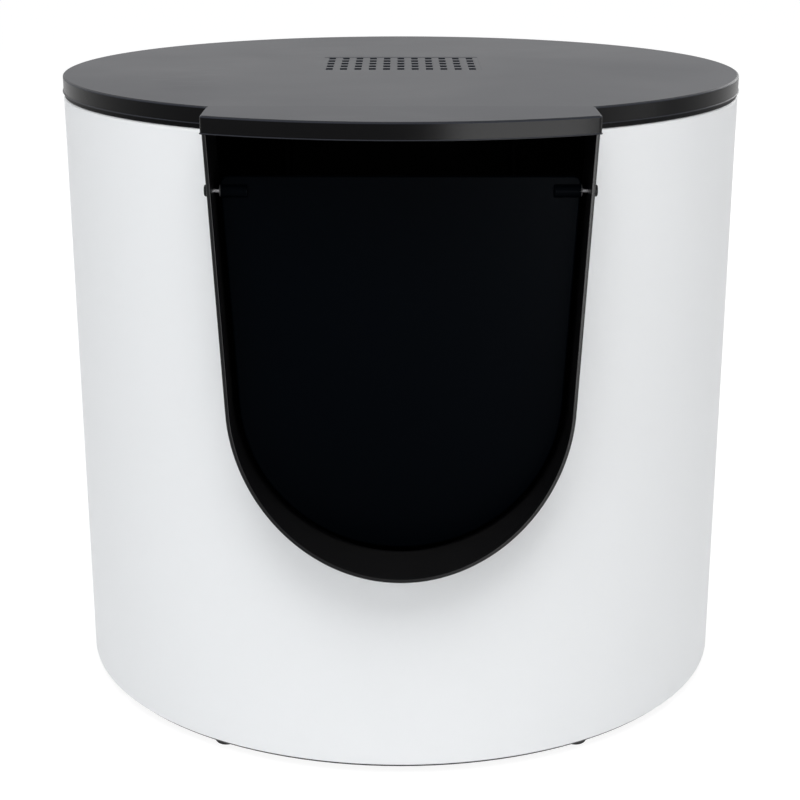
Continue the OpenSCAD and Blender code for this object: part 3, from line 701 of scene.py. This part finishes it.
def flap_loops(inset, top, corner, depth):
    """(rows, k, 3) closed loops round the flap, for k values of the inset from its edge, of
    the height of its top, of its corner's radius and of the depth along Y."""
    shrink = -flap_shrink - inset
    middle_x = entry_half(top - corner, shrink) - corner / math.cos(entry_lean)
    foot = sill_middle - (sill_radius + shrink) * math.sin(entry_lean)
    side_end = top - corner - corner * math.sin(entry_lean)
    heights = foot + (side_end - foot) * np.linspace(0, 1, 17)[1:, None]
    turn = np.linspace(-entry_lean, math.pi / 2, 9)[1:, None]
    arc = np.stack([middle_x + corner * np.cos(turn), top - corner + corner * np.sin(turn)], -1)
    line = np.concatenate([entry_line(shrink, heights, 72), arc])
    flat = np.stack([line[..., 0], np.broadcast_to(depth, line.shape[:2]), line[..., 1]], -1)
    loop = both_halves(flat)
    return np.concatenate([loop, loop[:1]])


face, back = -flap_plane - flap_thickness / 2, -flap_plane + flap_thickness / 2
floor_of_hollow = back - flap_hollow
flap_profile = round_corners(
    [(0.003, face), (0, face), (0, back), (flap_border, back), (flap_border + 0.0006, floor_of_hollow),
     (flap_border + 0.002, floor_of_hollow)],
    [0, flap_edge_round, flap_edge_round, 0.0004, 0.0004, 0], steps=5)
in_hollow = flap_profile[:, 0] > flap_border / 2
below = np.where(in_hollow, flap_profile[:, 0] - flap_border, flap_profile[:, 0])
flap_sheet = flap_loops(flap_profile[:, 0], np.where(in_hollow, hollow_top, flap_top) - below,
                        flap_corner - below, flap_profile[:, 1])
barrel_begin = flap_half - barrel_length
barrel_profile = round_corners(
    [(0, barrel_begin), (barrel_radius, barrel_begin), (barrel_radius, flap_half), (0, flap_half)],
    [0, 0.0008, 0.0003, 0], 5)
barrels = [turned(barrel_profile * (1, side), hinge_middle, 48, along="x") for side in (-1, 1)]
flap_plastic = moulded_plastic("flap_plastic", (0.0003, 0.0008, 0.0016), 0.34, shine=0.01, dust=0.01,
                               variety=0.2, dust_colour=(0.12, 0.12, 0.12, 1))
lay_out("swing_flap", [(flap_plastic, [flap_sheet] + barrels)], "flap", ["flap_panel"],
        flat_at=[(1, face), (1, floor_of_hollow)])

# The collared nylon bushes keep their CAD shape.
bush_nylon = moulded_plastic("bush_nylon", (0.030, 0.030, 0.031), 0.42, shine=0.4, dust=0.02)
paint_node(bush_nylon, "flap_bush_left", "flap_bush_right")


# ---------------------------------------------------------------- top ring
# The flat black ring screwed down on the shell's top edge. It keeps the open drum round and
# carries the lid. It keeps its CAD shape, and pan-head screws lie in its counterbores.
ring_plastic = moulded_plastic("ring_plastic", (0.004, 0.004, 0.0045), 0.42, shine=0.03, dust=0.03)
paint_node(ring_plastic, "top_ring")
ring_screw_seat = shell_height + ring_thickness - screw_head_height
ring_screw_length = 0.0156
lay_screws("screws_in_ring", [around(a, column_distance, ring_screw_seat) for a in column_turns],
           ring_screw_length, "drum", "ring_screws", up=-1)


# ---------------------------------------------------------------- litter pan
# The lift-out tub: a leaning wall, a round corner into a flat floor, and a rim that turns out
# and down so that fingers can lift it.
pan_height = 0.125
pan_stand = 0.0003
pan_wall = 0.0025
pan_rim_radius = 0.228
pan_top_radius = pan_rim_radius - 0.009
pan_slope = 0.012 / pan_height
pan_lip = 0.012
lean_length = math.hypot(1, pan_slope)


def pan_radius(height, inset=0):
    """Radius of the tub's leaning wall at a height, moved in square to the wall by inset."""
    return pan_top_radius - (pan_height - height) * pan_slope - inset * lean_length


lip_foot, under_rim = pan_height - pan_lip, pan_height - pan_wall
pan_profile = round_corners(
    [(0, pan_wall), (pan_radius(pan_wall, pan_wall), pan_wall),
     (pan_radius(pan_height, pan_wall), pan_height), (pan_rim_radius, pan_height),
     (pan_rim_radius, lip_foot), (pan_rim_radius - pan_wall, lip_foot),
     (pan_rim_radius - pan_wall, under_rim), (pan_radius(under_rim), under_rim),
     (pan_radius(0), 0), (0, 0)],
    [0, 0.0115, 0.0012, 0.0016, 0.0007, 0.0007, 0.001, 0.001, 0.014, 0], steps=8)
pan_plastic = moulded_plastic("pan_plastic", (0.016, 0.016, 0.017), 0.4, shine=0.35, dust=0.12)
pan_sheet = turned(pan_profile, (0, 0, pan_stand), 160)
lay_out("lift_out_pan", [(pan_plastic, [pan_sheet])], "pan", ["litter_pan"])


# ---------------------------------------------------------------- lid
# One black moulding: a flat top with a fine grain and a low border, a smooth rim with a thin
# lip along its foot, and a visor over the entry. Vent slots lie in a shallow panel. Below are
# a spigot that enters the top ring, seat ribs that stand on it, and stiffening ribs. Its one
# black is painted in a lighter copy, as painted light, and a darker copy on the rim, as painted
# shade; the lighter copy also paints highlight lines on the lip's ledge and the rim's top edge,
# and the darker copy a dark line on the border's slope.
lid_radius = 0.2508
lid_foot = shell_height + ring_thickness + 0.0003
lid_height = 0.0114
lid_top = lid_foot + lid_height
lid_plate = 0.003
lid_under = lid_top - lid_plate
lid_wall = 0.0025
visor_radius = surround_front + 0.0034
visor_half = 0.1245
visor_corner = 0.004
lip_height = 0.0003
ledge_rise, ledge_depth = 0.00048, 0.0006     # the slope from the lip in to the rim's face
border_width, border_drop = 0.0017, 0.00025   # the low border round the top, inside the rim's edge
border_slope = 0.0002
border_top = lid_top - border_drop
fillet_reach, fillet_round = 0.0009, 0.0008   # from the rim's face in to the low border


def lid_loops(inset, height):
    """(rows, k, 3) closed loops round the lid, for k values of the inset from its outline and
    of the height: along the visor's front arc, round its corner, back along its side and then
    round the drum's circle to the back, with the mirror image of all that."""
    reach, half = visor_radius - inset, visor_half - inset
    corner = visor_corner - np.minimum(inset, visor_corner / 2)
    middle_x = half - corner
    middle_y = -np.sqrt((reach - corner) ** 2 - middle_x ** 2)
    start = np.arctan2(middle_x, -middle_y)
    front = start * np.linspace(0, 1, 33)[:, None]
    front = np.stack([reach * np.sin(front), -reach * np.cos(front)], -1)
    turn = start + (math.pi / 2 - start) * np.linspace(0, 1, 9)[1:, None]
    bend = np.stack([middle_x + corner * np.sin(turn), middle_y - corner * np.cos(turn)], -1)
    drum = lid_radius - inset
    root = -np.sqrt(drum ** 2 - half ** 2)
    share = np.linspace(0, 1, 6)[1:, None]
    side = np.stack([np.broadcast_to(half, (5, len(half))), middle_y + (root - middle_y) * share], -1)
    begin = np.arcsin(half / drum)
    angle = begin + (math.pi - begin) * np.linspace(0, 1, 141)[1:, None]
    back = np.stack([drum * np.sin(angle), -drum * np.cos(angle)], -1)
    line = np.concatenate([front, bend, side, back])
    return both_halves(np.concatenate([line, np.broadcast_to(height[:, None], line.shape[:2] + (1,))], -1))


ledge_low, ledge_high = (0, lid_foot + lip_height), (ledge_depth, lid_foot + lip_height + ledge_rise)
fillet_low = (ledge_depth, border_top - fillet_reach)
# Darker copy, as painted shade: the rim's inside and foot, its face, and the border's slope as a painted
# dark line
painted_shade_parts = [round_corners([(lid_wall, lid_under), (lid_wall, lid_foot), (0, lid_foot), ledge_low],
                              [0, 0.0004, 0.00015, 0]),
                np.array([ledge_high, fillet_low]),
                np.array([(border_width, border_top), (border_width + border_slope, lid_top)])]
# Lighter copy: the lip's ledge and the rim's top edge as painted highlight lines, and the low border
painted_lit_parts = [np.array([ledge_low, ledge_high]),
                 round_corners([fillet_low, (ledge_depth, border_top), (border_width, border_top)],
                               [0, fillet_round, 0])]
painted_shade_rim, painted_lit_rim = ([lid_loops(part[:, 0], part[:, 1]) for part in parts]
                           for parts in (painted_shade_parts, painted_lit_parts))

# The vent: identical cells, each a slot with round corners and eased edges through the plate
vent_columns, vent_rows = 11, 5
vent_pitch = np.array([0.01075, 0.0179])
slot_size = np.array([0.0052, 0.011])
vent_middle = 0.032
slot_corner, slot_ease = 0.0009, 0.0003
panel_margin, panel_depth, panel_corner = 0.004, 0.0002, 0.0015
panel_eases = (0.0002, 0.00006)      # of the panel's outline, at the lid's top and just below
panel_floor = lid_top - panel_depth


def closed_quarters(quarter):
    """A closed loop from a line that runs through the first quarter, mirrored into the others."""
    flipped = quarter[::-1]
    return np.concatenate([quarter, flipped * (-1, 1), -quarter, flipped * (1, -1), quarter[:1]])


def round_slot(size, corner, ease=0.0, steps=8):
    """(4 * (steps + 1) + 1, 2) loop round a slot whose corners are arcs, all moved out by ease."""
    turn = np.linspace(0, math.pi / 2, steps + 1)
    arc = (corner + ease) * np.stack([np.cos(turn), np.sin(turn)], -1)
    return closed_quarters(arc + (size / 2 - corner))


def cell_edge(steps=8):
    """The edge of a slot's cell, with as many points as the loop round the slot: the first
    half of each corner's arc goes to the cell's side and the other half to its end."""
    middle = steps // 2
    share = np.linspace(0, 1, middle + 1)[:, None]
    corner, inner = vent_pitch / 2, slot_size / 2 - slot_corner
    side = np.array([corner[0], inner[1]]) * (1 - share) + corner * share
    end = corner * (1 - share) + np.array([inner[0], corner[1]]) * share
    return closed_quarters(np.concatenate([side, end[1:]]))


def at_height(loop, height):
    """An (n, 2) loop as (n, 3) points."""
    return np.concatenate([loop, np.full((len(loop), 1), height)], axis=1)


cell = np.stack([at_height(cell_edge(), panel_floor),
                 at_height(round_slot(slot_size, slot_corner, slot_ease), panel_floor),
                 at_height(round_slot(slot_size, slot_corner), panel_floor - slot_ease),
                 at_height(round_slot(slot_size, slot_corner), lid_under + slot_ease / 2),
                 at_height(round_slot(slot_size, slot_corner, slot_ease / 2), lid_under),
                 at_height(cell_edge(), lid_under)])
cells = [cell + ((i - (vent_columns - 1) / 2) * vent_pitch[0],
                 vent_middle + (j - (vent_rows - 1) / 2) * vent_pitch[1], 0)
         for i in range(vent_columns) for j in range(vent_rows)]
panel_size = (np.array([vent_columns, vent_rows]) - 1) * vent_pitch + slot_size + 2 * panel_margin
panel_rim = np.stack([at_height(round_slot(panel_size, panel_corner, ease), height) for ease, height in
                      zip(panel_eases + (0,), (lid_top, lid_top - panel_eases[1], panel_floor))])
panel_rim += (0, vent_middle, 0)

# Underneath: the spigot, the seat ribs, a ring, spokes and a straight rib, and four bosses
spigot_radius = 0.2357
spigot_foot = lid_foot - 0.0073
lid_rib_foot = lid_under - 0.006
into_plate = lid_under + lid_plate / 2


def rib_half(foot):
    """Half of a rib's section, from inside the plate down to its rounded foot."""
    return round_corners([(0, into_plate), (lid_wall / 2, into_plate), (lid_wall / 2, foot), (0, foot)],
                         [0, 0, 0.0005, 0], 3)


def rib(begin, end, foot):
    """A straight rib between two places x, y, capped at both ends."""
    begin, end = np.array(begin), np.array(end)
    along = (end - begin) / np.linalg.norm(end - begin)
    across = np.array([along[1], -along[0]])

    def placed(section):
        return np.stack([np.concatenate([place + section[:, :1] * across, section[:, 1:]], axis=1)
                         for place in (begin, end)])
    return capped(placed(rib_half(foot)), placed(rib_half(foot) * (-1, 1)))


def ring_rib(radius, foot, first, last, steps=120):
    """Part of a ring between two angles, with the same section as a straight rib."""
    turn = np.radians(np.linspace(first, last, steps + 1))[:, None]

    def carried(section):
        return on_ring(radius - lid_wall / 2 + section[:, 0], turn, section[:, 1])
    return capped(carried(rib_half(foot)), carried(rib_half(foot) * (-1, 1)))


filter_path_half = 0.07795
filter_path = (0.0289, 0.1956)      # how far that path reaches to the front and to the back
front_rib = 0.214
stiffener_radius = spigot_radius * 0.72
stiffener_end = 152.6               # where the filter's path cuts it, in degrees from the front
seat_rib_turns = np.arange(24) * 15 + 7.5
under_lid = ring_rib(spigot_radius, spigot_foot, -180, 180, 240)
under_lid += ring_rib(stiffener_radius, lid_rib_foot, -stiffener_end, stiffener_end)
for angle in seat_rib_turns:
    inner, outer = (around(angle, radius - lid_wall / 2)[:2] for radius in (spigot_radius, lid_radius))
    under_lid += rib(inner, outer, lid_foot)
for angle in range(0, 360, 30):
    across_path, along_path = abs(math.sin(math.radians(angle))), math.cos(math.radians(angle))
    limit = filter_path[0] if along_path > 0 else filter_path[1]
    first = min(filter_path_half / max(across_path, 1e-6), limit / max(abs(along_path), 1e-6))
    last = front_rib if angle == 0 else spigot_radius - lid_wall / 2
    under_lid += rib(around(angle, first)[:2], around(angle, last)[:2], lid_rib_foot)
front_rib_half = math.sqrt((spigot_radius - lid_wall / 2) ** 2 - front_rib ** 2)
under_lid += rib((-front_rib_half, -front_rib), (front_rib_half, -front_rib), lid_rib_foot)
ear_places = [(x, y) for x in (-0.06995, 0.06995) for y in (-0.0109, 0.0726)]
lid_boss_radius, boss_hole_end = 0.004, lid_under - 0.001
boss_profile = round_corners(
    [(0, into_plate), (lid_boss_radius, into_plate), (lid_boss_radius, lid_rib_foot),
     (screw_radius, lid_rib_foot), (screw_radius, boss_hole_end), (0, boss_hole_end)],
    [0, 0, 0.0004, 0, 0, 0], 4)
under_lid += [turned(boss_profile, (x, y, 0), 40) for x, y in ear_places]


def lid_dents(tree, point):
    """Height of the lid's top in metres: shallow waves from cooling, and a slight droop of the
    visor in front of the rib under its root."""
    waves = noise(tree, point, 12.0, 1.0)
    ahead = maths(tree, "ADD", add(tree, "SeparateXYZ", {0: point}).outputs["Y"], front_rib - drum_y)
    droop = maths(tree, "MULTIPLY", maths(tree, "MINIMUM", ahead, 0.0), math.tan(math.radians(0.8)))
    return maths(tree, "MULTIPLY_ADD", waves, 0.0003, droop)


# The lid's black in two copies: lighter on the top and underside (painted light), darker on the rim
# (painted shade)
lid_painted_lit = moulded_plastic("lid_painted_lit", (0.0235, 0.0255, 0.0325), 0.34, shine=0.042,
                                  grain=900.0, depth=0.00005, dust=0.03, dents=lid_dents)
lid_painted_shaded = moulded_plastic("lid_painted_shaded", (0.0030, 0.0030, 0.0033), 0.26, shine=0.05, dust=0.02)
lay_out("lid_moulding", [(lid_painted_lit, cells + [panel_rim] + under_lid + painted_lit_rim),
                         (lid_painted_shaded, painted_shade_rim)],
        "lid", ["lid"], flat_at=[(2, lid_top), (2, panel_floor), (2, lid_under)])


# ---------------------------------------------------------------- filter
# A channel under the vent, held by four screws, in which a barred tray slides to the back.
# The tray holds a pad of carbon-loaded felt, which is soft and cut a little unevenly.
paint_node(black_plastic, "filter_frame", "filter_cassette")
ear_screw_seat = lid_rib_foot - 0.002
ear_screw_length = 0.0070
lay_screws("screws_in_filter_frame", [(x, y, ear_screw_seat) for x, y in ear_places], ear_screw_length,
           "lid", "filter_frame_screws")

pad_low, pad_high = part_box("carbon_filter")
pad_low, pad_high = (np.array(corner) - (0, drum_y, shell_foot) for corner in (pad_low, pad_high))


def felt_pad(steps=60):
    """A cushion block: its outline is a superellipse, nearly square, whose width shrinks
    towards the top and bottom edges, and whose faces swell by a few tenths of a millimetre."""
    turn = np.linspace(0, 2 * math.pi, 4 * steps + 1)
    square = 14
    side_fit, face_fit, pole_fit = 0.997, 0.99, 0.992     # shares of the CAD pad's half size
    reach = (np.abs(np.cos(turn)) ** square + np.abs(np.sin(turn)) ** square) ** (-1 / square)
    outline = np.stack([reach * np.cos(turn), reach * np.sin(turn)], -1)
    half, middle = (pad_high - pad_low) / 2, (pad_high + pad_low) / 2
    inset = np.array([0.3, 0.12, 0.04, 0.008, 0, 0, 0, 0.008, 0.04, 0.12, 0.3])
    level = np.array([-1, -0.995, -0.98, -0.9, -0.7, 0, 0.7, 0.9, 0.98, 0.995, 1])
    share = 1 - inset[:, None, None]
    xy = outline[None] * (half[:2] * side_fit) * share
    z = np.broadcast_to((level * half[2])[:, None], xy.shape[:2]) * face_fit
    rings = np.concatenate([xy, z[..., None]], -1) + middle
    poles = [np.broadcast_to(middle + (0, 0, side * half[2] * pole_fit), rings[:1].shape)
             for side in (-1, 1)]
    return np.concatenate([poles[0], rings, poles[1]])


def carbon_felt_paint():
    """Charcoal felt: matted fibres as distorted noise, flecks of carbon and a soft nap."""
    paint, tree = blank_paint("carbon_felt")
    point = add(tree, "TexCoord").outputs["Object"]
    fibres = noise(tree, point, 900.0, 6.0, Roughness=0.75, Distortion=2.5)
    flecks = add(tree, "TexVoronoi", {"Vector": point, "Scale": 700.0}).outputs["Distance"]
    tone = blend(tree, fibres, (0.006, 0.006, 0.006, 1), (0.045, 0.044, 0.042, 1))
    height = maths(tree, "MULTIPLY_ADD", flecks, 0.4, fibres)
    bump = add(tree, "Bump", {"Height": height, "Distance": 0.0005, "Strength": 0.8})
    coat(tree, tone, spread(tree, flecks, 0.0, 1.0, 0.78, 0.98), bump, Specular_IOR_Level=0.2)
    return paint


pad = lay_out("carbon_felt_pad", [(carbon_felt_paint(), [felt_pad()])], "cassette",
              ["carbon_filter"])
